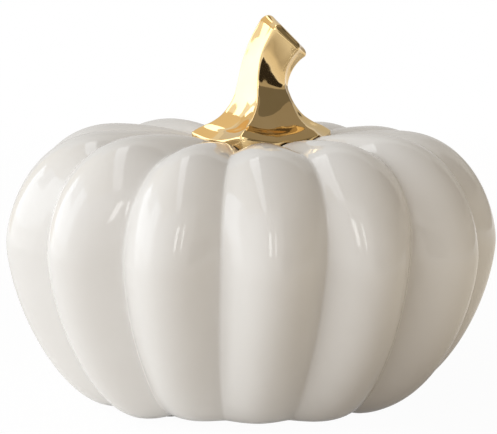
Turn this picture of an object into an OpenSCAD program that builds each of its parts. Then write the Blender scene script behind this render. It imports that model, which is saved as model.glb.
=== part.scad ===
// Ribbed ceramic pumpkin figure with a gilt, six-ridged stem.
// Frame: origin on the ground under the middle of the body, +Z up, front towards -Y.
// Angles round the body run from the front (-Y) towards +X.

/* [Body] */
// Radius of the body over its lobes at the belly
belly_r = 80; // [76:1:86]
// Height of the belly above the foot
belly_z = 51.5; // [48:0.5:56]
// Radius of the foot that the lobes stand on
foot_r = 46; // [43:1:50]
// Radius of the crown, where the lobes are highest
crown_r = 45.5; // [42:0.5:50]
// Height of the crown above the foot
crown_z = 87; // [82:1:92]
// Depth of the dish in the crown
dish_depth = 12; // [10:0.5:14]
// Radius of the dish's bottom
dish_bottom_r = 8; // [8:0.5:10]
// Roundness of the lower body, across and along the axis (2 is an ellipse)
lower_round = [1.8, 1.6]; // each [1.5:0.1:2.5]
// Roundness of the upper body, across and along the axis (2 is an ellipse)
upper_round = [2.4, 1.7]; // each [1.5:0.1:2.6]
// Wall thickness of the slip-cast shell
wall = 4.5; // [4:0.5:5.5]

/* [Lobes] */
// Angle of the first groove
first_groove = -162; // [-166:1:-158]
// Width of each lobe at the belly, in degrees
lobe_widths = [37, 36, 31, 26, 25, 25, 24, 29, 34, 30, 31, 32]; // each [24:1:37], sum 360
// How far each groove drifts sideways by the time it reaches the foot, in degrees
foot_drift = [0, 0, 14, 4, 1, -2, -3, 0, 1, 0, 0, 0]; // each [-5:1:14]
// How far each groove drifts sideways by the time it reaches the crown, in degrees
crown_drift = [0, 0, 0, -1, 4, 0, 0, 2, -1, 0, 0, 0]; // each within 1 of these
// How far each lobe stands out more or less than its neighbours
lobe_swell = [0.5, 0.5, 0, 0.5, -1, -1, -0.5, 0.5, 0, -0.5, -0.5, 0]; // each within 0.5 of these
// How much more each lobe stands out where it turns under, near the foot
turn_swell = [0, 0, 1, 0.5, 0, 0, 0, -0.8, 0, 0, 0, 0]; // each [-1:0.1:1.2]
// Groove depth at the foot, below the belly, at the belly, above it and at the crown
outer_depths = [1.5, 8, 10, 6, 4]; // each [1:0.5:11]
// Groove depth in the dish, beside the stem's foot
dish_groove = 4; // [3:0.5:4]
// Half angle of the arc that each lobe's cross-section follows
lobe_arc = 65; // [50:1:80]

/* [Underside] */
// Width of the flat land round the foot
foot_land = 17; // [14:1:18]
// Depth of the recess inside the land
recess_depth = 3; // [2:0.5:4]
// Radius of the kiln vent in the middle of the underside
vent_r = 5; // [3:0.5:6]
// Radius of each felt pad
pad_r = 6; // [5:0.5:7]
// Thickness of each felt pad
pad_t = 1; // [0.8:0.1:1.6]
// Distance of the pads' centres from the axis
pad_circle_r = 36; // [34:1:38]

/* [Stem] */
// Sideways offset of the stem from the body's axis
stem_x = 3.5; // [0:0.5:5]
// Angle of each ridge where it meets the foot
ridge_angles = [-77, -17, 50, 105, 165, 225]; // each within 3 of these
// How far the ridges turn about the axis from the toes up to the cut end, in degrees
ridge_turns = [0, 1, 2, 5, 8, 6, 1, -6, -9, -11]; // each [-11:1:8], the first 0
// Height above the foot's land where the straight part of the stem ends
bend_start_z = 98.5; // [96:0.5:102]
// Radius of the bend in the stem's axis
bend_r = 28; // [24:1:34]
// Radius over the ridges from the toes up to the cut end
ridge_rs = [23.5, 21, 17.5, 14, 11, 9, 8.5, 8.5, 9, 9.5]; // each within 1 of these
// Radius in the flutes from the toes up to the cut end
flute_rs = [20, 17, 14, 11, 9, 7.5, 7, 7, 7.5, 8]; // each within 0.5 of these
// Height of those sections along the stem's axis above the crown seat
section_zs = [2.5, 4, 5.5, 8, 12, 16.5, 21, 26, 31, 34.5]; // each within 0.5 of these
// How much lower each flute lies than its ridges at those sections
flute_drops = [2, 1.5, 1.5, 1, 0.5, 0, 0, 0, 0, 0]; // each [0:0.5:2]
// Radius of the softened edge round the cut end
cut_round = 1.6; // [0.8:0.2:2.4]
// Radius of the spigot under the stem
spigot_r = 5.8; // [5:0.1:6]
// Length of the spigot below the crown seat
spigot_l = 17; // [15:1:19]
// Radius of the bore left in the cast stem
stem_bore_r = 2.5; // [2:0.1:2.8]
// Thickness of the bond line round the spigot
bond_t = 0.5; // [0.3:0.1:0.8]

/* [Mesh] */
// Facets across each lobe outside
lobe_facets = 10; // [6:2:12]
// Facets across each lobe inside
inner_facets = 6; // [4:2:8]
// Facets across each flute of the stem
flute_facets = 8; // [8:2:10]

/* [Hidden] */
$fn = 64;

// Height of the foot's land, on top of the pads
body_z = pad_t;
lobes = len(lobe_widths);
// Groove depth at every half station, with no groove left at the dish's bottom
groove_depths = concat(outer_depths, [dish_groove, 0]);
// Station from which the lobes' swell fades out
fade_start = 2.5;
// Width of the slope between the land and the recess
recess_slope = 4;
// How far a cut runs past the surfaces that it goes through
cut_margin = 4;

ridges = len(ridge_angles);
// How sharp the stem's ridges are (1 is a straight-sided flute)
ridge_power = 2.2;
// Height of the stem's datum, a little below the crown
seat_z = crown_z - 3;
// Gap between the stem's underside and the lobes
seat_gap = 0.5;
// Foot rim: setback of the bottom edge, bulge above it and share of the height where it lies
rim_inset = 0.6;
rim_bulge = 0.5;
rim_middle = 0.5;
// Scale and extra clearance of each ring under the foot, from the rim inwards
under_rings = [[1, 0], [0.86, 0], [0.8, 1.2], [0.5, 1.2]];
// Height of the bore's end above the stem's datum
bore_top = 12;
// Height by which the spigot runs up into the stem
spigot_root = 2;
// Bead of bond inside the shell, and depth of the joint's top below the dish's bottom
bead_t = 1.2;
bead_h = 2;
bond_sink = 3;

pads = 4;
pad_start = 45;

// Rings in each quarter of the meridian outside and inside, on the stem and round its cut
outer_steps = [9, 11, 6];
inner_steps = [6, 7, 4];
sections_per_station = 2;
cut_steps = 3;
// Half length of the step over which the meridian's slope is taken
slope_step = 0.004;

// Colours
white_glaze = [0.93, 0.92, 0.9];
gilt = [0.86, 0.68, 0.36];
clear_bond = [0.85, 0.82, 0.7];
grey_felt = [0.55, 0.53, 0.5];

// --- Curves ---------------------------------------------------------------

// Smooth curve through the values in v, at position x counted in values.
function curve_at(v, x) =
    let (
        n = len(v) - 1,
        i = max(0, min(floor(x), n - 1)),
        t = x - i,
        a = v[max(i - 1, 0)],
        b = v[i],
        c = v[i + 1],
        d = v[min(i + 2, n)]
    )
    b + 0.5 * t * ((c - a) + t * ((2 * a - 5 * b + 4 * c - d) + t * (3 * (b - c) + d - a)));

function mix(a, b, t) = a + (b - a) * t;

// Sum of the first n values in v.
function sum_to(v, n) = n <= 0 ? 0 : v[n - 1] + sum_to(v, n - 1);

// Point [r, z] of the body's meridian over a lobe. Station s runs from the foot (0)
// over the belly (1) and the crown (2) to the bottom of the dish (3).
function meridian(s) =
    s <= 1 ? lower_quarter(90 * (1 - s)) :
    s <= 2 ? upper_quarter(90 * (s - 1)) : dish_quarter(90 * (s - 2));

function lower_quarter(a) = [
    foot_r + (belly_r - foot_r) * pow(cos(a), 2 / lower_round[0]),
    belly_z * (1 - pow(sin(a), 2 / lower_round[1]))
];

function upper_quarter(a) = [
    crown_r + (belly_r - crown_r) * pow(cos(a), 2 / upper_round[0]),
    belly_z + (crown_z - belly_z) * pow(sin(a), 2 / upper_round[1])
];

function dish_quarter(a) = [
    crown_r - (crown_r - dish_bottom_r) * sin(a),
    crown_z - dish_depth * (1 - cos(a))
];

// Outward direction [r, z] in which grooves and wall are measured: square to the
// meridian outside, and straight up in the dish.
function outward(s) =
    s > 2 ? [0, 1] :
    let (
        d = meridian(min(s + slope_step, 2)) - meridian(max(s - slope_step, 0))
    )
    [d[1], -d[0]] / norm(d);

// --- Lobes ----------------------------------------------------------------

// Angle of groove k at station s.
function groove_angle(k, s) =
    let (
        turn = floor(k / lobes),
        g = k - turn * lobes,
        at_belly = first_groove + sum_to(lobe_widths, g) + 360 * turn
    )
    at_belly + curve_at([foot_drift[g], 0, crown_drift[g]], min(s, 2));

// Height of a lobe's cross-section: 1 on its crest, 0 in the grooves at u = -1 and 1.
function lobe_section(u) = (cos(u * lobe_arc) - cos(lobe_arc)) / (1 - cos(lobe_arc));

// How far lobe k's crest stands off the meridian at station s. Like the grooves, the
// swell fades out at the bottom of the dish, where the stem's socket needs a flat seat.
function swell(k, s) =
    let (
        in_dish = min(1, (3 - s) / (3 - fade_start)),
        at_turn = sin(180 * pow(1 - min(1, s), 3))
    )
    lobe_swell[k] * in_dish + turn_swell[k] * at_turn;

// How far lobe k's surface stands off the meridian at station s.
function lobe_offset(k, u, s) =
    let (h = lobe_section(u))
    swell(k, s) * h - curve_at(groove_depths, 2 * s) * (1 - h);

// Surface point of lobe k, inset by t below the outside.
function lobe_point(k, u, s, t) =
    let (
        p = meridian(s) + outward(s) * (lobe_offset(k, u, s) - t),
        a = mix(groove_angle(k, s), groove_angle(k + 1, s), (1 + u) / 2)
    )
    [p[0] * sin(a), -p[0] * cos(a), max(p[1], t)];

// One ring of the body at station s, with n facets to a lobe.
function lobe_ring(s, n, t) = [
    for (k = [0 : lobes - 1], i = [0 : n - 1]) lobe_point(k, 2 * i / n - 1, s, t)
];

// Circle of n points, spread like those of the lobes at the foot.
function round_ring(r, z, n) = [
    for (k = [0 : lobes - 1], i = [0 : n / lobes - 1])
        let (a = mix(groove_angle(k, 0), groove_angle(k + 1, 0), i * lobes / n))
        [r * sin(a), -r * cos(a), z]
];

// Stations from foot to dish, spaced by steps[0], steps[1] and steps[2] in each quarter.
function stations(steps) = [
    for (q = [0 : 2], i = [0 : steps[q] - 1]) q + i / steps[q],
    3
];

// --- Lofting --------------------------------------------------------------

// Closed solid through rings of n points, listed from the top down.
module loft(rings) {
    n = len(rings[0]);
    m = len(rings);
    top = mean_point(rings[0]);
    bottom = mean_point(rings[m - 1]);
    points = concat([for (ring = rings) each ring], [top, bottom]);
    sides = [
        for (j = [0 : m - 2], i = [0 : n - 1])
            let (a = j * n + i, b = j * n + (i + 1) % n)
            each [[a, b, b + n], [a, b + n, a + n]]
    ];
    caps = [
        for (i = [0 : n - 1])
            let (e = (i + 1) % n)
            each [[m * n, e, i], [m * n + 1, (m - 1) * n + i, (m - 1) * n + e]]
    ];
    polyhedron(points = points, faces = concat(sides, caps), convexity = 8);
}

function mean_point(ring) = sum_points(ring, len(ring) - 1) / len(ring);

function sum_points(v, i) = i < 0 ? [0, 0, 0] : v[i] + sum_points(v, i - 1);

function reversed(v) = [for (i = [len(v) - 1 : -1 : 0]) v[i]];

// --- Body -----------------------------------------------------------------

module body_outside() {
    n = lobes * lobe_facets;
    land_r = foot_r - foot_land;
    shell = [for (s = stations(outer_steps)) lobe_ring(s, lobe_facets, 0)];
    land = round_ring(land_r, 0, n);
    recess = round_ring(land_r - recess_slope, recess_depth, n);
    loft(concat(reversed(shell), [land, recess]));
}

module body_cavity() {
    n = lobes * inner_facets;
    land_r = foot_r - foot_land;
    shell = [for (s = stations(inner_steps)) lobe_ring(s, inner_facets, wall)];
    land = round_ring(land_r + wall / 2, wall, n);
    recess = round_ring(land_r - recess_slope + wall / 2, recess_depth + wall, n);
    loft(concat(reversed(shell), [land, recess]));
}

module body_shell() {
    color(white_glaze)
    translate([0, 0, body_z])
    difference() {
        body_outside();
        body_cavity();
        translate([0, 0, recess_depth - cut_margin])
            cylinder(h = wall + 2 * cut_margin, r = vent_r);
        translate([stem_x, 0, crown_z - dish_depth - wall - cut_margin])
            cylinder(h = wall + 2 * cut_margin, r = spigot_r + bond_t);
    }
}

// --- Stem -----------------------------------------------------------------

// Height of the crown's surface over the point [x, y], inside the dish.
function crown_height(x, y) =
    let (
        r = max(norm([x, y]), dish_bottom_r),
        s = 2 + asin(min(1, (crown_r - r) / (crown_r - dish_bottom_r))) / 90,
        a0 = atan2(x, -y),
        a = a0 < groove_angle(0, 2) ? a0 + 360 : a0,
        k = lobe_at(a, 0),
        g0 = groove_angle(k, 2),
        g1 = groove_angle(k + 1, 2),
        u = 2 * (a - g0) / (g1 - g0) - 1
    )
    meridian(s)[1] + lobe_offset(k, u, s);

function lobe_at(a, k) = k >= lobes - 1 || a < groove_angle(k + 1, 2) ? k : lobe_at(a, k + 1);

// How much of a ridge there is at angle step v across a flute: 1 on a ridge, 0 mid-flute.
function ridge_share(v) = pow(abs(2 * v - 1), ridge_power);

// Point on the stem at axis height h and angle a, at radius r, with the axis bent over.
function on_axis(h, a, r) =
    let (
        straight = bend_start_z - seat_z,
        turn = max(0, h - straight) / bend_r * 180 / PI,
        rise = min(h, straight),
        x = r * sin(a)
    )
    [
        stem_x + bend_r * (1 - cos(turn)) + x * cos(turn),
        -r * cos(a),
        seat_z + rise + bend_r * sin(turn) - x * sin(turn)
    ];

// Angle at step v across the flute that starts at ridge k.
function flute_angle(k, v) =
    let (next = k < ridges - 1 ? ridge_angles[k + 1] : ridge_angles[0] + 360)
    mix(ridge_angles[k], next, v);

// One ring of the stem at section position q.
function stem_ring(q, inset, lift) = [
    for (k = [0 : ridges - 1], i = [0 : flute_facets - 1])
        let (
            v = i / flute_facets,
            share = ridge_share(v),
            r = mix(curve_at(flute_rs, q), curve_at(ridge_rs, q), share) - inset,
            h = curve_at(section_zs, q) - curve_at(flute_drops, q) * (1 - share) + lift,
            a = flute_angle(k, v) + curve_at(ridge_turns, q)
        )
        on_axis(h, a, r)
];

// Height of the stem's underside, which follows the lobes at a small gap.
function under_height(x, y) = crown_height(x, y) + seat_gap;

// Ring half way down the blunt rim of the foot.
function rim_ring() = [
    for (p = stem_ring(0, -rim_bulge, 0)) [p[0], p[1], mix(under_height(p[0], p[1]), p[2], rim_middle)]
];

// One ring of the stem's underside, which bears on the lobes near its rim and is relieved inside.
function under_ring(scale, relief) = [
    for (p = stem_ring(0, rim_inset, 0))
        let (
            x = stem_x + (p[0] - stem_x) * scale,
            y = p[1] * scale
        )
        [x, y, under_height(x, y) + relief]
];

module stem_outside() {
    last = len(section_zs) - 1;
    cut_edge = [
        for (i = [cut_steps : -1 : 1])
            let (a = 90 * i / cut_steps)
            stem_ring(last, cut_round * (1 - cos(a)), cut_round * sin(a))
    ];
    sides = [
        for (j = [last * sections_per_station : -1 : 0])
            stem_ring(j / sections_per_station, 0, 0)
    ];
    under = [for (ring = under_rings) under_ring(ring[0], ring[1])];
    loft(concat(cut_edge, sides, [rim_ring()], under));
}

module stem() {
    color(gilt)
    translate([0, 0, body_z])
    difference() {
        union() {
            stem_outside();
            translate([stem_x, 0, seat_z - spigot_l])
                cylinder(h = spigot_l + spigot_root, r = spigot_r);
        }
        translate([stem_x, 0, seat_z - spigot_l - cut_margin])
            cylinder(h = spigot_l + cut_margin + bore_top, r = stem_bore_r);
    }
}

// Bond line round the spigot, with the bead that squeezes out inside the shell.
module stem_bond() {
    bottom = crown_z - dish_depth - wall - bead_h;
    top = crown_z - dish_depth - bond_sink;
    color(clear_bond)
    translate([stem_x, 0, body_z])
    rotate_extrude()
    polygon([
        [spigot_r, bottom],
        [spigot_r + bond_t + bead_t, bottom + bead_h / 2],
        [spigot_r + bond_t, bottom + bead_h],
        [spigot_r + bond_t, top],
        [spigot_r, top]
    ]);
}

// --- Pads -----------------------------------------------------------------

module pad(i) {
    a = pad_start + 360 / pads * i;
    color(grey_felt)
    rotate([0, 0, a])
    translate([pad_circle_r, 0, 0])
    cylinder(h = pad_t, r = pad_r);
}

body_shell();
stem();
stem_bond();
pad(0);  // pad_1
pad(1);  // pad_2
pad(2);  // pad_3
pad(3);  // pad_4
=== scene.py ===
"""White glazed, ribbed pumpkin figure with a gold stem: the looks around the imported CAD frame.

Shapes are worked out in millimetres, with the height measured from the foot's land, as in the
solids, and lifted by the pads' thickness when they are lofted.
"""

import math

import bmesh
import bpy
import numpy as np
from mathutils import Matrix, Vector


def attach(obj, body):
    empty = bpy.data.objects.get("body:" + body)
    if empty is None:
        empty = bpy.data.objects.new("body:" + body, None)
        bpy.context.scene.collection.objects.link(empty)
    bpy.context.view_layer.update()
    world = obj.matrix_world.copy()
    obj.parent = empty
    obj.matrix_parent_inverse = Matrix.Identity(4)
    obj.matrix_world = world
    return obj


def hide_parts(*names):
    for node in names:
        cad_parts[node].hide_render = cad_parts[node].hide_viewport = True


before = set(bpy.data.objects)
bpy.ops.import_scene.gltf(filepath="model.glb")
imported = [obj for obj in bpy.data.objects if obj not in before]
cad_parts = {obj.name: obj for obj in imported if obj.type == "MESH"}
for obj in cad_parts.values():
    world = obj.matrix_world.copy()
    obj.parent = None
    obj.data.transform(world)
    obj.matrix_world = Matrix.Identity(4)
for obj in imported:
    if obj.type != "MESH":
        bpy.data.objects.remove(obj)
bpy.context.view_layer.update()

MM = 0.001

# Body
BELLY_R = 80.0
BELLY_Z = 51.5
FOOT_R = 46.0
CROWN_R = 45.5
CROWN_Z = 87.0
DISH_DEPTH = 12.0
DISH_BOTTOM_R = 8.0
# Powers of the meridian's two rounded quarters, for the radius and for the height
LOWER_ROUND = (1.8, 1.6)
UPPER_ROUND = (2.4, 1.7)
WALL = 4.5

# Lobes, with angles in degrees from the front (-Y) towards +X. Each has its width, the drift of
# the groove before it towards foot and crown, and how far it stands out, at large and by the foot.
FIRST_GROOVE = -162.0
LOBE_WIDTHS = (37, 36, 31, 26, 25, 25, 24, 29, 34, 30, 31, 32)
FOOT_DRIFT = (0, 0, 14, 4, 1, -2, -3, 0, 1, 0, 0, 0)
CROWN_DRIFT = (0, 0, 0, -1, 4, 0, 0, 2, -1, 0, 0, 0)
LOBE_SWELL = (0.5, 0.5, 0, 0.5, -1, -1, -0.5, 0.5, 0, -0.5, -0.5, 0)
TURN_SWELL = (0, 0, 1, 0.5, 0, 0, 0, -0.8, 0, 0, 0, 0)
# Groove depth at every half station, and the station from which the swell fades out
GROOVE_DEPTHS = (1.5, 8, 10, 6, 4, 4, 0)
FADE_START = 2.5
# Arc of a lobe's cross-section, and width of the groove's fillet as a share of half a lobe
LOBE_ARC = 65.0
GROOVE_FILLET = 0.035
LOBES = len(LOBE_WIDTHS)

# Underside: a flat land round a recess, with the vent in the middle, and the pads on the land
FOOT_LAND = 17.0
RECESS_DEPTH = 3.0
RECESS_SLOPE = 4.0
VENT_R = 5.0
PAD_T = 1.0
# Width and height by which the edges of the land and of the vent are eased
LAND_EDGE = (1.0, 0.5)
VENT_EDGE = (1.0, 0.2)

# Stem: its axis, then its sections from the foot up, with heights along the axis
STEM_X = 3.5
BEND_START_Z = 98.5
BEND_R = 28.0
SEAT_Z = CROWN_Z - 3
RIDGE_ANGLES = (-77, -17, 50, 105, 165, 225)
RIDGES = len(RIDGE_ANGLES)
RIDGE_TURNS = (0, 1, 2, 5, 8, 6, 1, -6, -9, -11)
RIDGE_RS = (23.5, 21, 17.5, 14, 11, 9, 8.5, 8.5, 9, 9.5)
FLUTE_RS = (20, 17, 14, 11, 9, 7.5, 7, 7, 7.5, 8)
SECTION_ZS = (2.5, 4, 5.5, 8, 12, 16.5, 21, 26, 31, 34)
FLUTE_DROPS = (2, 1.5, 1.5, 1, 0.5, 0, 0, 0, 0, 0)
# How sharp the ridges are, the fillet on them and the share of it that is made up for
RIDGE_POWER = 2.2
RIDGE_FILLET = 0.07
FILLET_GAIN = 0.3
# The cut end is rounder than the solid's 1.6, as in the photo, so its last section starts 0.5
# lower. Its edge is rounded at these angles and its face closed by rings of these scales.
CUT_ROUND = 2.4
CUT_ANGLES = (90, 75, 60, 45, 30, 15)
CUT_SCALES = (0.35, 0.7, 0.95)
SPIGOT_R = 5.8
SPIGOT_L = 17.0
SOCKET_R = 6.3
# Foot: gap to the lobes, setback and bulge of its rim, and the rings (scale, relief) under it
SEAT_GAP = 0.3
RIM_INSET = 0.6
RIM_BULGE = 0.45
RIM_STEPS = (0.15, 0.3, 0.45, 0.6, 0.75, 0.9)
RELIEF = 1.2
UNDER_RINGS = ((1, 0), (0.86, 0), (0.8, RELIEF), (0.5, RELIEF))

# How far the smooth body lies inside the solid's facets
SKIN = 0.08

# Mesh fineness: points to a lobe and a flute, and rings to a stem section and a body quarter
LOBE_STEPS = 40
FLUTE_STEPS = 28
STEM_STEPS = 9
OUTSIDE_STEPS = (34, 40, 16)
INSIDE_STEPS = (10, 12, 6)
LAST_STATION = 2.75
# How far the points of a lobe and of a flute gather at its edges
LOBE_GATHER = 0.55
FLUTE_GATHER = 0.055
# Part of a station over which the body's slope is measured
SLOPE_STEP = 0.004

# Heights in metres over which the foot's bare, rough clay gives way to glaze
BARE_Z = (0.0014, 0.0022)
BARE_ROUGHNESS = 0.75

# Camera: the photograph's viewpoint, with the frame's width and the focal length in its pixels
FRAME_W = 497
CAMERA_DISTANCE = 524.8
CAMERA_TARGET = (-0.75, 0.0, 58.0 + PAD_T)
CAMERA_ELEVATION = 7.56
CAMERA_ROLL = 0.42
FOCAL_PX = 1602.4
SENSOR_MM = 36.0
CLIP_START = 0.01

# Light, in metres and degrees. Directions are an azimuth, from the front (-Y) towards +X, and an
# elevation. A radiance or a colour of 1 shows as white.

# What lights the matt surfaces: the room's colours from far left (0) to far right (1), how much
# darker it is in one direction, and soft glows added to it
ROOM = (
    (0.0, (0.95, 0.95, 0.95)),
    (0.35, (0.75, 0.735, 0.715)),
    (0.6, (0.64, 0.575, 0.49)),
    (1.0, (0.62, 0.56, 0.48)),
)
# Azimuth, elevation, share that is taken away, and how fast that falls off
ROOM_SHADE = (56, 48, 0.85, 2.0)
# Azimuth, elevation, radiance, how fast it falls off, and colour
GLOWS = (
    (-55, 8, 1.65, 6.0, (0.94, 0.97, 1.0)),
    (-98, 12, 1.15, 6.0, (0.91, 0.97, 1.0)),
    (-4, 4, 0.45, 6.0, (1.0, 0.85, 0.74)),
    (78, 0, 0.45, 4.0, (1.0, 0.90, 0.76)),
)

# Floor: its colours from -FLOOR_SPAN (0) to +FLOOR_SPAN (1) in X: pale, then a band of painted
# shade just right of the figure that stands in for its shadow there and darkens the light the floor
# throws back onto the body's lower right, then warm pale;
# and the share of plain white that the camera and the mirroring surfaces see near the figure, which
# grows to 1 over the fade's radii
FLOOR_SIZE = 60
FLOOR_TINTS_WITH_PAINTED_SHADE = (
    (0.47, (0.97, 0.96, 0.94)),
    (0.61, (0.34, 0.28, 0.20)),
    (0.70, (0.97, 0.88, 0.72)),
)
FLOOR_SPAN = 0.3
FLOOR_GLOW = 0.97
FLOOR_SHEEN = 0.3
FLOOR_FADE = (0.3, 1.2)

# What the glaze and the gold mirror: curved cards (name, distance, azimuths, elevations, colour)
CARDS = (
    ("window_sill", 1.2, (-126, -64), (-2, 9), (1.5, 1.5, 1.5)),
    ("window_far", 1.2, (-126, -110), (9, 34), (2.2, 2.3, 2.4)),
    ("window", 1.2, (-110, -88), (9, 28.8), (2.2, 2.3, 2.4)),
    ("window_near", 1.2, (-88, -64), (9, 42), (2.2, 2.3, 2.4)),
    ("card_front", 1.5, (-14, 26), (-2, 60), (0.85, 0.84, 0.82)),
    ("card_right", 1.5, (26, 88), (-2, 20), (0.42, 0.38, 0.32)),
    ("card_right_high", 1.5, (26, 88), (20, 66), (0.17, 0.155, 0.13)),
    ("card_dark", 0.7, (21, 46), (1, 18), (0.03, 0.025, 0.02)),
    ("card_far_right", 1.5, (88, 160), (-2, 14), (0.40, 0.37, 0.33)),
    ("card_far_right_high", 1.5, (88, 135), (14, 60), (0.10, 0.09, 0.08)),
    ("card_back_right", 1.5, (135, 160), (14, 46), (0.56, 0.54, 0.50)),
    ("card_back", 1.5, (160, 215), (-2, 46), (0.66, 0.64, 0.61)),
    ("card_back_left", 1.5, (215, 250), (-2, 60), (0.74, 0.62, 0.44)),
)
CARD_POINTS = 13
# Flat cards overhead (name, range of X, range of Y, colour), all at one height
CEILING_Z = 1.0
CEILINGS = (
    ("ceiling_left", (-1.1, -0.346), (-0.9, 0.65), (0.80, 0.68, 0.50)),
    ("ceiling_strip", (-0.346, -0.17), (-0.9, 0.65), (2.20, 2.20, 2.20)),
    ("ceiling_right", (-0.17, 1.5), (-0.9, 0.65), (0.30, 0.27, 0.23)),
    ("ceiling_back", (-1.1, 1.5), (0.65, 1.1), (0.80, 0.78, 0.74)),
)
# Two narrow lamps that show only as glints (name, azimuth, elevation, distance, size, radiance)
LAMPS = (
    ("glint_left", -6, 21, 1.3, (0.11, 0.40), 4.5),
    ("glint_right", 7, 21, 1.3, (0.06, 0.40), 4.5),
)
LAMP_TARGET = (0, 0, 0.06)


# --- Curves -----------------------------------------------------------------

def curve_at(values, x):
    """Smooth curve through values, at positions x counted in values."""
    v = np.asarray(values, float)
    x = np.asarray(x, float)
    n = len(v) - 1
    i = np.clip(np.floor(x).astype(int), 0, n - 1)
    t = x - i
    a, b = v[np.maximum(i - 1, 0)], v[i]
    c, d = v[i + 1], v[np.minimum(i + 2, n)]
    return b + 0.5 * t * ((c - a) + t * ((2 * a - 5 * b + 4 * c - d) + t * (3 * (b - c) + d - a)))


def meridian(s):
    """Radius and height at stations s: foot 0, belly 1, crown 2, bottom of the dish 3."""
    s = np.asarray(s, float)
    low = np.radians(90 * np.clip(1 - s, 0, 1))
    high = np.radians(90 * np.clip(s - 1, 0, 1))
    dish = np.radians(90 * np.clip(s - 2, 0, 1))
    low_r = FOOT_R + (BELLY_R - FOOT_R) * np.cos(low).clip(0) ** (2 / LOWER_ROUND[0])
    low_z = BELLY_Z * (1 - np.sin(low) ** (2 / LOWER_ROUND[1]))
    high_r = CROWN_R + (BELLY_R - CROWN_R) * np.cos(high).clip(0) ** (2 / UPPER_ROUND[0])
    high_z = BELLY_Z + (CROWN_Z - BELLY_Z) * np.sin(high) ** (2 / UPPER_ROUND[1])
    dish_r = CROWN_R - (CROWN_R - DISH_BOTTOM_R) * np.sin(dish)
    dish_z = CROWN_Z - DISH_DEPTH * (1 - np.cos(dish))
    r = np.where(s <= 1, low_r, np.where(s <= 2, high_r, dish_r))
    z = np.where(s <= 1, low_z, np.where(s <= 2, high_z, dish_z))
    return r, z


def outward(s):
    """Direction (radial, up) in which grooves and wall are measured: straight up in the dish."""
    r1, z1 = meridian(np.clip(s + SLOPE_STEP, 0, 2))
    r0, z0 = meridian(np.clip(s - SLOPE_STEP, 0, 2))
    length = np.hypot(r1 - r0, z1 - z0) + 1e-12
    in_dish = s > 2
    return np.where(in_dish, 0, (z1 - z0) / length), np.where(in_dish, 1, -(r1 - r0) / length)


# --- Lobes ------------------------------------------------------------------

def groove_angles(s):
    """Angle of every groove at stations s, with the first one repeated a turn later."""
    belly = FIRST_GROOVE + np.concatenate([[0], np.cumsum(LOBE_WIDTHS)[:-1]])
    s = np.minimum(np.asarray(s, float), 2)
    drift = np.stack([
        curve_at((FOOT_DRIFT[k], 0, CROWN_DRIFT[k]), s) for k in range(LOBES)
    ], -1)
    angles = belly + drift
    return np.concatenate([angles, angles[..., :1] + 360], -1)


def lobe_section(u):
    """Height of a lobe's cross-section: 1 on its crest and 0 in its grooves."""
    edge = 1 - np.abs(u)
    rounded = 1 - np.sqrt(edge ** 2 + GROOVE_FILLET ** 2)
    arc = math.radians(LOBE_ARC)
    return (np.cos(rounded * arc) - math.cos(arc)) / (1 - math.cos(arc))


def lobe_offset(lobe, u, s):
    """How far the surface of a lobe stands off the meridian, at u from -1 to 1 across it."""
    height = lobe_section(u)
    s = np.asarray(s, float)
    fade = np.minimum(1, (3 - s) / (3 - FADE_START))
    at_turn = np.sin(math.pi * (1 - np.minimum(1, s)) ** 3)
    swell = np.asarray(LOBE_SWELL)[lobe] * fade + np.asarray(TURN_SWELL)[lobe] * at_turn
    return swell * height - curve_at(GROOVE_DEPTHS, 2 * s) * (1 - height)


def across_lobe(steps):
    """Positions u across a lobe, closer together near its grooves."""
    t = np.arange(steps) / steps
    return -np.cos(np.pi * t) * LOBE_GATHER + (2 * t - 1) * (1 - LOBE_GATHER)


def lobe_rings(s, inset):
    """Rings of points round the body at stations s, inset below the outside."""
    s = np.asarray(s, float)[:, None]
    u = np.tile(across_lobe(LOBE_STEPS), LOBES)[None]
    lobe = np.repeat(np.arange(LOBES), LOBE_STEPS)
    r, z = meridian(s)
    out_r, out_z = outward(s)
    off = lobe_offset(lobe[None], u, s) - inset
    angles = groove_angles(s[:, 0])
    a = np.radians(angles[:, lobe] * (1 - u) / 2 + angles[:, lobe + 1] * (1 + u) / 2)
    radius = r + out_r * off
    height = np.maximum(z + out_z * off, inset)
    return np.stack([radius * np.sin(a), -radius * np.cos(a), height], -1)


def ring_like(ring, r, z, x=0.0):
    """A round ring whose points lie at the angles of another ring's points."""
    a = np.arctan2(ring[:, 0], -ring[:, 1])
    return np.stack([x + r * np.sin(a), -r * np.cos(a), np.full(len(a), z)], -1)


def stations(steps):
    """Stations from the foot to inside the dish, with a given number in each quarter."""
    quarters = [q + np.arange(n) / n for q, n in enumerate(steps)]
    return np.append(np.concatenate(quarters), LAST_STATION)


# --- Mesh building ----------------------------------------------------------

def loft(name, rings, closed=False):
    """Mesh through rings of equal length; capped at both ends, or closed back on its first ring."""
    n = len(rings[0])
    points = np.concatenate(rings)
    m = len(rings)
    faces = []
    for j in range(m if closed else m - 1):
        low, high = j * n, (j + 1) % m * n
        for i in range(n):
            e = (i + 1) % n
            faces.append((low + i, high + i, high + e, low + e))
    if not closed:
        points = np.concatenate([points, rings[0].mean(0)[None], rings[-1].mean(0)[None]])
        for i in range(n):
            e = (i + 1) % n
            faces.append((m * n, i, e))
            faces.append((m * n + 1, (m - 1) * n + e, (m - 1) * n + i))
    mesh = bpy.data.meshes.new(name)
    mesh.from_pydata((points * MM).tolist(), [], faces)
    mesh.validate()
    mesh.update()
    mesh.shade_smooth()
    obj = bpy.data.objects.new(name, mesh)
    bpy.context.scene.collection.objects.link(obj)
    return obj


def lifted(points):
    """Points moved up by the thickness of the pads."""
    return np.asarray(points) + np.array([0, 0, PAD_T])


# --- Pieces -----------------------------------------------------------------

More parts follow.
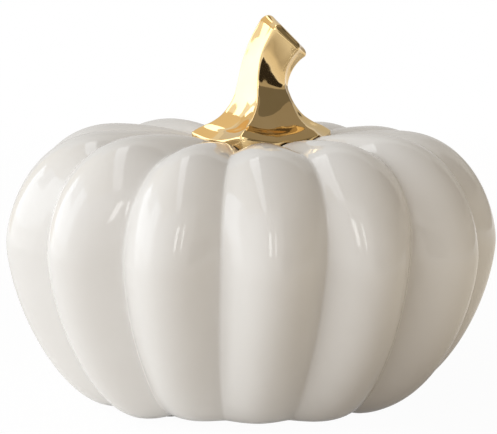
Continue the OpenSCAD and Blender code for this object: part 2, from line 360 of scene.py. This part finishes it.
def make_body():
    """The slip-cast shell: outside, underside, vent, cavity and socket in one closed skin."""
    outside = list(lobe_rings(stations(OUTSIDE_STEPS), SKIN))
    inside = list(lobe_rings(stations(INSIDE_STEPS), WALL))
    first = outside[0]
    land_r = FOOT_R - FOOT_LAND
    vent_w, vent_h = VENT_EDGE
    land_w, land_h = LAND_EDGE
    underside = [
        ring_like(first, VENT_R, RECESS_DEPTH),
        ring_like(first, VENT_R + vent_w, RECESS_DEPTH - vent_h),
        ring_like(first, land_r - RECESS_SLOPE, RECESS_DEPTH - vent_h),
        ring_like(first, land_r - land_w, land_h),
        ring_like(first, land_r, 0),
        ring_like(first, land_r + land_w, 0),
    ]
    cavity_floor = [
        ring_like(first, land_r + WALL / 2, WALL),
        ring_like(first, land_r - RECESS_SLOPE + WALL / 2, RECESS_DEPTH + WALL),
        ring_like(first, VENT_R, RECESS_DEPTH + WALL),
    ]
    dish_z = CROWN_Z - DISH_DEPTH
    socket = [
        ring_like(outside[-1], SOCKET_R, dish_z, STEM_X),
        ring_like(outside[-1], SOCKET_R, dish_z - WALL, STEM_X),
    ]
    rings = underside + outside + socket + inside[::-1] + cavity_floor
    return loft("glazed_body", [lifted(r) for r in rings[::-1]], closed=True)


def crown_height(x, y):
    """Height of the crown's surface over points inside the dish."""
    r = np.maximum(np.hypot(x, y), DISH_BOTTOM_R)
    s = 2 + np.degrees(np.arcsin(((CROWN_R - r) / (CROWN_R - DISH_BOTTOM_R)).clip(0, 1))) / 90
    grooves = groove_angles(2.0)
    a = np.degrees(np.arctan2(x, -y))
    a = np.where(a < grooves[0], a + 360, a)
    lobe = np.clip(np.searchsorted(grooves, a, side="right") - 1, 0, LOBES - 1)
    u = 2 * (a - grooves[lobe]) / (grooves[lobe + 1] - grooves[lobe]) - 1
    return meridian(s)[1] + lobe_offset(lobe, u, s)


def on_axis(h, a, r):
    """Points of the stem at height h along its bent axis, angle a and radius r."""
    straight = BEND_START_Z - SEAT_Z
    turn = np.maximum(0, h - straight) / BEND_R
    x = r * np.sin(a)
    return np.stack([
        STEM_X + BEND_R * (1 - np.cos(turn)) + x * np.cos(turn),
        -r * np.cos(a),
        SEAT_Z + np.minimum(h, straight) + BEND_R * np.sin(turn) - x * np.sin(turn),
    ], -1)


def stem_ring(q, inset=0.0, lift=0.0, scale=1.0):
    """One ring of the stem at section position q."""
    step = np.tile(np.arange(FLUTE_STEPS) / FLUTE_STEPS, RIDGES)
    v = step - np.sin(4 * np.pi * step) * FLUTE_GATHER
    ridge = np.repeat(np.arange(RIDGES), FLUTE_STEPS)
    edge = 1 - np.abs(2 * v - 1)
    nearness = 1 - np.sqrt(edge ** 2 + RIDGE_FILLET ** 2) + FILLET_GAIN * RIDGE_FILLET
    share = nearness.clip(0, 1) ** RIDGE_POWER
    ridge_r, flute_r = curve_at(RIDGE_RS, q), curve_at(FLUTE_RS, q)
    r = (flute_r + (ridge_r - flute_r) * share - inset) * scale
    h = curve_at(SECTION_ZS, q) - curve_at(FLUTE_DROPS, q) * (1 - share) + lift
    angles = np.append(RIDGE_ANGLES, RIDGE_ANGLES[0] + 360)
    a = angles[ridge] * (1 - v) + angles[ridge + 1] * v + curve_at(RIDGE_TURNS, q)
    return on_axis(h, np.radians(a), r)


def rim_ring(t):
    """One ring of the foot's blunt rim, from its top edge (t 0) round to its underside (t 1)."""
    ring = stem_ring(0, RIM_INSET * t - RIM_BULGE * math.sin(math.pi * t))
    low = crown_height(ring[:, 0], ring[:, 1]) + SEAT_GAP
    turn = (1 - math.cos(math.pi * t)) / 2
    return np.stack([ring[:, 0], ring[:, 1], ring[:, 2] * (1 - turn) + low * turn], -1)


def under_ring(scale, relief):
    """One ring of the stem's underside, which bears on the lobes near its rim."""
    ring = stem_ring(0, RIM_INSET)
    x = STEM_X + (ring[:, 0] - STEM_X) * scale
    y = ring[:, 1] * scale
    return np.stack([x, y, crown_height(x, y) + SEAT_GAP + relief], -1)


def make_stem():
    """The stem: cut end, bent and ridged shaft, flared foot, seat and spigot."""
    last = len(SECTION_ZS) - 1
    steps = last * STEM_STEPS
    end = [stem_ring(last, CUT_ROUND, CUT_ROUND, scale) for scale in CUT_SCALES]
    for angle in np.radians(CUT_ANGLES):
        end.append(stem_ring(last, CUT_ROUND * (1 - math.cos(angle)), CUT_ROUND * math.sin(angle)))
    shaft = [stem_ring(last * (1 - j / steps)) for j in range(steps + 1)]
    rim = [rim_ring(t) for t in RIM_STEPS]
    seat = [under_ring(*ring) for ring in UNDER_RINGS]
    round_about = shaft[-1] - [STEM_X, 0, 0]
    spigot = [
        ring_like(round_about, SPIGOT_R, CROWN_Z - DISH_DEPTH + RELIEF, STEM_X),
        ring_like(round_about, SPIGOT_R, SEAT_Z - SPIGOT_L, STEM_X),
    ]
    return loft("gold_stem", [lifted(r) for r in end + shaft + rim + seat + spigot])


# --- Materials --------------------------------------------------------------

def new_material(name):
    """Fresh material, with its nodes, links and shader."""
    mat = bpy.data.materials.new(name)
    mat.use_nodes = True
    nodes = mat.node_tree.nodes
    return mat, nodes, mat.node_tree.links, nodes["Principled BSDF"]


def noise(nodes, links, coords, scale, detail=2.0, rough=0.5):
    """Cloudy noise from 0 to 1, with a scale in waves per metre."""
    node = nodes.new("ShaderNodeTexNoise")
    node.inputs["Scale"].default_value = scale
    node.inputs["Detail"].default_value = detail
    node.inputs["Roughness"].default_value = rough
    links.new(coords, node.inputs["Vector"])
    return node.outputs["Fac"]


def ramp(nodes, links, value, stops):
    """Colour ramp of (position, colour) stops driven by value."""
    node = nodes.new("ShaderNodeValToRGB")
    elements = node.color_ramp.elements
    while len(elements) < len(stops):
        elements.new(0.5)
    for element, (position, colour) in zip(elements, stops):
        element.position = position
        element.color = (*colour, 1)
    links.new(value, node.inputs["Fac"])
    return node.outputs["Color"]


def remap(nodes, links, value, low, high, to_low, to_high):
    """Value carried from one range to another and kept inside it."""
    node = nodes.new("ShaderNodeMapRange")
    ends = {"From Min": low, "From Max": high, "To Min": to_low, "To Max": to_high}
    for key, number in ends.items():
        node.inputs[key].default_value = number
    links.new(value, node.inputs["Value"])
    return node.outputs["Result"]


def bump(nodes, links, shader, height, strength, distance):
    """Bump on a shader's normal, at most a distance in metres high."""
    node = nodes.new("ShaderNodeBump")
    node.inputs["Strength"].default_value = strength
    node.inputs["Distance"].default_value = distance
    links.new(height, node.inputs["Height"])
    links.new(node.outputs["Normal"], shader.inputs["Normal"])


def glaze_material():
    """White glaze: faint warm mottling, a soft orange peel, and bare matt clay under the foot."""
    mat, nodes, links, shader = new_material("white_glaze")
    coords = nodes.new("ShaderNodeTexCoord").outputs["Object"]
    tint = ramp(nodes, links, noise(nodes, links, coords, 28, 3), (
        (0.3, (0.78, 0.765, 0.742)), (0.7, (0.815, 0.802, 0.782)),
    ))
    links.new(tint, shader.inputs["Base Color"])
    split = nodes.new("ShaderNodeSeparateXYZ")
    links.new(coords, split.inputs[0])
    bare = remap(nodes, links, split.outputs["Z"], *BARE_Z, BARE_ROUGHNESS, 0.0)
    gloss = remap(nodes, links, noise(nodes, links, coords, 60), 0.3, 0.7, 0.05, 0.085)
    total = nodes.new("ShaderNodeMath")
    total.operation = "ADD"
    total.use_clamp = True
    links.new(bare, total.inputs[0])
    links.new(gloss, total.inputs[1])
    links.new(total.outputs[0], shader.inputs["Roughness"])
    shader.inputs["IOR"].default_value = 1.5
    bump(nodes, links, shader, noise(nodes, links, coords, 95, 1), 0.06, 0.0012)
    return mat


def gold_material():
    """Mirror gold lustre over glaze: a little redder in places, with a fine waviness."""
    mat, nodes, links, shader = new_material("gold_lustre")
    coords = nodes.new("ShaderNodeTexCoord").outputs["Object"]
    tint = ramp(nodes, links, noise(nodes, links, coords, 55, 3), (
        (0.3, (0.87, 0.63, 0.30)), (0.7, (0.93, 0.70, 0.37)),
    ))
    links.new(tint, shader.inputs["Base Color"])
    shader.inputs["Metallic"].default_value = 1.0
    gloss = remap(nodes, links, noise(nodes, links, coords, 140), 0.3, 0.7, 0.045, 0.09)
    links.new(gloss, shader.inputs["Roughness"])
    bump(nodes, links, shader, noise(nodes, links, coords, 120, 2), 0.12, 0.0008)
    return mat


def felt_material():
    """Grey felt with matted fibres."""
    mat, nodes, links, shader = new_material("grey_felt")
    coords = nodes.new("ShaderNodeTexCoord").outputs["Object"]
    fibre = noise(nodes, links, coords, 1800, 6, 0.7)
    tint = ramp(nodes, links, fibre, ((0.35, (0.16, 0.15, 0.14)), (0.65, (0.30, 0.285, 0.265))))
    links.new(tint, shader.inputs["Base Color"])
    gloss = remap(nodes, links, fibre, 0.3, 0.7, 0.85, 1.0)
    links.new(gloss, shader.inputs["Roughness"])
    bump(nodes, links, shader, fibre, 0.6, 0.0004)
    return mat


def bond_material():
    """Cured adhesive, pale yellow and a little cloudy."""
    mat, nodes, links, shader = new_material("clear_bond")
    coords = nodes.new("ShaderNodeTexCoord").outputs["Object"]
    cloud = noise(nodes, links, coords, 300, 3)
    tint = ramp(nodes, links, cloud, ((0.3, (0.62, 0.55, 0.38)), (0.7, (0.74, 0.68, 0.52))))
    links.new(tint, shader.inputs["Base Color"])
    gloss = remap(nodes, links, cloud, 0.3, 0.7, 0.18, 0.32)
    links.new(gloss, shader.inputs["Roughness"])
    bump(nodes, links, shader, cloud, 0.3, 0.0003)
    return mat


# --- Stage ------------------------------------------------------------------

def direction(azimuth, elevation):
    """Unit vector: azimuth from the front (-Y) towards +X, elevation upwards, in degrees."""
    a, e = math.radians(azimuth), math.radians(elevation)
    return Vector((math.sin(a) * math.cos(e), -math.cos(a) * math.cos(e), math.sin(e)))


def empty_tree(owner):
    """Nodes and links of a material or world, with its default nodes removed."""
    owner.use_nodes = True
    owner.node_tree.nodes.clear()
    return owner.node_tree.nodes, owner.node_tree.links


def combine(nodes, links, operation, first, second):
    """Math node of two values, each a socket or a number."""
    node = nodes.new("ShaderNodeMath")
    node.operation = operation
    for socket, value in zip(node.inputs, (first, second)):
        if isinstance(value, float):
            socket.default_value = value
        else:
            links.new(value, socket)
    return node.outputs[0]


def towards(nodes, links, coords, azimuth, elevation):
    """Cosine of the angle between the looked-up direction and a fixed one."""
    node = nodes.new("ShaderNodeVectorMath")
    node.operation = "DOT_PRODUCT"
    links.new(coords, node.inputs[0])
    node.inputs[1].default_value = direction(azimuth, elevation)
    return node.outputs["Value"]


def cone(nodes, links, coords, azimuth, elevation, fall):
    """1 in one direction, falling off to 0 at right angles to it."""
    facing = towards(nodes, links, coords, azimuth, elevation)
    facing = combine(nodes, links, "MAXIMUM", facing, 0.0)
    return combine(nodes, links, "POWER", facing, fall)


def seen_directly(nodes, links):
    """1 for rays that show the background: from the camera, or by way of metal, glaze or glass."""
    path = nodes.new("ShaderNodeLightPath")
    total = path.outputs["Is Camera Ray"]
    for ray in ("Is Glossy Ray", "Is Transmission Ray"):
        total = combine(nodes, links, "MAXIMUM", total, path.outputs[ray])
    return total


def make_floor():
    """Floor, pale with a band of painted shade just right of the figure, that keeps the figure's
    soft shadow and fades to white round it.
    """
    bpy.ops.mesh.primitive_plane_add(size=FLOOR_SIZE)
    floor = bpy.context.object
    floor.name = "floor"
    mat = bpy.data.materials.new("floor")
    nodes, links = empty_tree(mat)
    out = nodes.new("ShaderNodeOutputMaterial")
    diffuse = nodes.new("ShaderNodeBsdfDiffuse")
    coords = nodes.new("ShaderNodeTexCoord").outputs["Object"]
    split = nodes.new("ShaderNodeSeparateXYZ")
    links.new(coords, split.inputs[0])
    across = remap(nodes, links, split.outputs["X"], -FLOOR_SPAN, FLOOR_SPAN, 0, 1)
    # Diffuse colour across X, with the band of painted shade just right of the figure
    links.new(ramp(nodes, links, across, FLOOR_TINTS_WITH_PAINTED_SHADE), diffuse.inputs["Color"])
    glow = nodes.new("ShaderNodeEmission")
    mix = nodes.new("ShaderNodeMixShader")
    away = nodes.new("ShaderNodeVectorMath")
    away.operation = "LENGTH"
    links.new(coords, away.inputs[0])
    path = nodes.new("ShaderNodeLightPath")
    near_shares = {
        "Is Camera Ray": FLOOR_GLOW,
        "Is Glossy Ray": FLOOR_SHEEN,
        "Is Transmission Ray": FLOOR_GLOW,
    }
    share = 0.0
    for ray, near in near_shares.items():
        fade = remap(nodes, links, away.outputs["Value"], *FLOOR_FADE, near, 1.0)
        seen = combine(nodes, links, "MULTIPLY", path.outputs[ray], fade)
        share = combine(nodes, links, "MAXIMUM", share, seen)
    links.new(share, mix.inputs["Fac"])
    links.new(diffuse.outputs[0], mix.inputs[1])
    links.new(glow.outputs[0], mix.inputs[2])
    links.new(mix.outputs[0], out.inputs["Surface"])
    floor.data.materials.append(mat)


def make_world():
    """A room that is bright at the left and dim and warm at the right, and shows as plain white."""
    world = bpy.data.worlds.new("surroundings")
    bpy.context.scene.world = world
    nodes, links = empty_tree(world)
    out = nodes.new("ShaderNodeOutputWorld")
    coords = nodes.new("ShaderNodeTexCoord").outputs["Generated"]
    room = nodes.new("ShaderNodeBackground")
    side = remap(nodes, links, towards(nodes, links, coords, 90, 0), -1, 1, 0, 1)
    links.new(ramp(nodes, links, side, ROOM), room.inputs["Color"])
    azimuth, elevation, shade, fall = ROOM_SHADE
    facing = cone(nodes, links, coords, azimuth, elevation, fall)
    links.new(remap(nodes, links, facing, 0, 1, 1, 1 - shade), room.inputs["Strength"])
    light = room.outputs[0]
    for azimuth, elevation, radiance, fall, colour in GLOWS:
        glow = nodes.new("ShaderNodeBackground")
        glow.inputs["Color"].default_value = (*colour, 1)
        facing = cone(nodes, links, coords, azimuth, elevation, fall)
        links.new(combine(nodes, links, "MULTIPLY", facing, radiance), glow.inputs["Strength"])
        total = nodes.new("ShaderNodeAddShader")
        links.new(light, total.inputs[0])
        links.new(glow.outputs[0], total.inputs[1])
        light = total.outputs[0]
    white = nodes.new("ShaderNodeBackground")
    white.inputs["Color"].default_value = (1, 1, 1, 1)
    mix = nodes.new("ShaderNodeMixShader")
    links.new(seen_directly(nodes, links), mix.inputs["Fac"])
    links.new(light, mix.inputs[1])
    links.new(white.outputs[0], mix.inputs[2])
    links.new(mix.outputs[0], out.inputs["Surface"])


def make_card(name, points, colour):
    """Studio card through a grid of points, seen only in what mirrors it."""
    bm = bmesh.new()
    rows = [[bm.verts.new(point) for point in row] for row in points]
    for row, next_row in zip(rows, rows[1:]):
        for i in range(len(row) - 1):
            bm.faces.new((row[i], row[i + 1], next_row[i + 1], next_row[i]))
    mesh = bpy.data.meshes.new(name)
    bm.to_mesh(mesh)
    bm.free()
    card = bpy.data.objects.new(name, mesh)
    mat = bpy.data.materials.new(name)
    nodes, links = empty_tree(mat)
    out = nodes.new("ShaderNodeOutputMaterial")
    face = nodes.new("ShaderNodeEmission")
    face.inputs["Color"].default_value = (*colour, 1)
    links.new(face.outputs[0], out.inputs["Surface"])
    mesh.materials.append(mat)
    card.visible_camera = False
    card.visible_diffuse = False
    card.visible_shadow = False
    bpy.context.scene.collection.objects.link(card)


def make_cards():
    """Curved cards that stand round the figure, and flat ones overhead."""
    for name, radius, azimuths, elevations, colour in CARDS:
        points = [
            [direction(a, e) * radius for a in np.linspace(*azimuths, CARD_POINTS)]
            for e in np.linspace(*elevations, CARD_POINTS)
        ]
        make_card(name, points, colour)
    for name, xs, ys, colour in CEILINGS:
        make_card(name, [[(x, y, CEILING_Z) for x in xs] for y in ys], colour)


def make_lamp(name, azimuth, elevation, distance, size, radiance):
    """Rectangular lamp aimed at the body, given by how bright its face is."""
    data = bpy.data.lights.new(name, "AREA")
    data.shape = "RECTANGLE"
    data.size, data.size_y = size
    data.energy = radiance * math.pi * size[0] * size[1]
    lamp = bpy.data.objects.new(name, data)
    target = Vector(LAMP_TARGET)
    lamp.location = target + direction(azimuth, elevation) * distance
    lamp.rotation_euler = (target - lamp.location).to_track_quat("-Z", "Y").to_euler()
    lamp.visible_camera = False
    lamp.visible_diffuse = False
    bpy.context.scene.collection.objects.link(lamp)


def make_light():
    """The room's light, the cards that stand for the room in mirroring surfaces, and the glints."""
    make_world()
    make_cards()
    for lamp in LAMPS:
        make_lamp(*lamp)


def make_camera():
    """Camera at the photograph's viewing angle, distance and framing."""
    data = bpy.data.cameras.new("camera")
    data.sensor_width = SENSOR_MM
    data.sensor_fit = "HORIZONTAL"
    data.lens = FOCAL_PX * SENSOR_MM / FRAME_W
    data.clip_start = CLIP_START
    camera = bpy.data.objects.new("camera", data)
    elevation = math.radians(CAMERA_ELEVATION)
    back = Vector((0, -math.cos(elevation), math.sin(elevation)))
    right = Vector((1, 0, 0))
    up = back.cross(right)
    roll = math.radians(CAMERA_ROLL)
    x_axis = right * math.cos(roll) + up * math.sin(roll)
    y_axis = up * math.cos(roll) - right * math.sin(roll)
    place = Vector(CAMERA_TARGET) * MM + back * CAMERA_DISTANCE * MM
    rotation = Matrix((x_axis, y_axis, back)).transposed()
    camera.matrix_world = Matrix.Translation(place) @ rotation.to_4x4()
    bpy.context.scene.collection.objects.link(camera)
    bpy.context.scene.camera = camera


# --- Scene ------------------------------------------------------------------

bpy.context.scene.view_settings.view_transform = "Standard"
make_camera()
make_light()
make_floor()

body = make_body()
body.data.materials.append(glaze_material())
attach(body, "root")
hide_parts("body_shell")

stem = make_stem()
stem.data.materials.append(gold_material())
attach(stem, "root")
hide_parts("stem")

felt = felt_material()
for name in ("pad_1", "pad_2", "pad_3", "pad_4"):
    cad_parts[name].data.materials[0] = felt
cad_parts["stem_bond"].data.materials[0] = bond_material()
